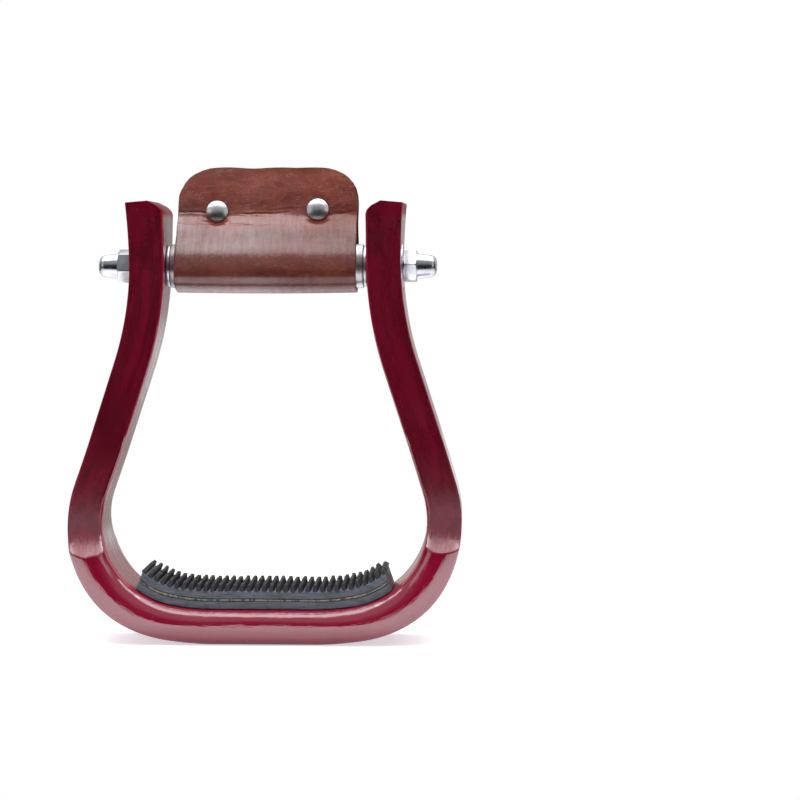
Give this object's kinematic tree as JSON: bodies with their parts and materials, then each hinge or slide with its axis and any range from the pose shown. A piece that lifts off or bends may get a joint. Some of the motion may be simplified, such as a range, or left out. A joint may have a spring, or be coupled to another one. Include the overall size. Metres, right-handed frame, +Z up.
{
  "type": "wooden stirrup",
  "caption": "Bent-wood saddle stirrup: a bell-shaped bow with a studded rubber tread, hung from a bolt and roller that carry a riveted leather wrap.",
  "frame": {"origin": "middle of the footprint, on the plane that the bottom of the tread stands on", "axes": "+Z up from the tread to the bolt, +X along the bolt to the right as seen from the front, +Y from front to rear, the side that the leather leans to"},
  "size_m": [0.17, 0.053, 0.2061],
  "materials": {
    "varnished_wood": "gloss",
    "tread_rubber": "matte",
    "belt_fabric": "matte",
    "brown_leather": "satin",
    "zinc_steel": "satin",
    "plated_steel": "gloss",
    "roller_steel": "satin",
    "rivet_steel": "gloss"
  },
  "bodies": {
    "bow_body": {"bow": "varnished_wood", "tread_base": "tread_rubber", "tread_fabric_ply": "belt_fabric", "tread_top": "tread_rubber", "through_rod": "zinc_steel", "cap_nut_left": "plated_steel", "cap_nut_right": "plated_steel", "outer_washer_left": "plated_steel", "outer_washer_right": "plated_steel"},
    "roller_body": {"roller_tube": "roller_steel", "roller_bush_left": "roller_steel", "roller_bush_right": "roller_steel"},
    "leather_body": {"leather_wrap": "brown_leather", "rivet_cap_left": "rivet_steel", "rivet_cap_right": "rivet_steel", "rivet_post_left": "rivet_steel", "rivet_post_right": "rivet_steel"}
  },
  "joints": [
    {"name": "roller_spin", "type": "hinge", "parent": "bow_body", "child": "roller_body", "pos_m": [0, 0, 0.1626], "axis": [1, 0, 0], "continuous": true},
    {"name": "leather_swing", "type": "hinge", "parent": "bow_body", "child": "leather_body", "pos_m": [0, 0, 0.1626], "axis": [1, 0, 0], "continuous": true}
  ]
}
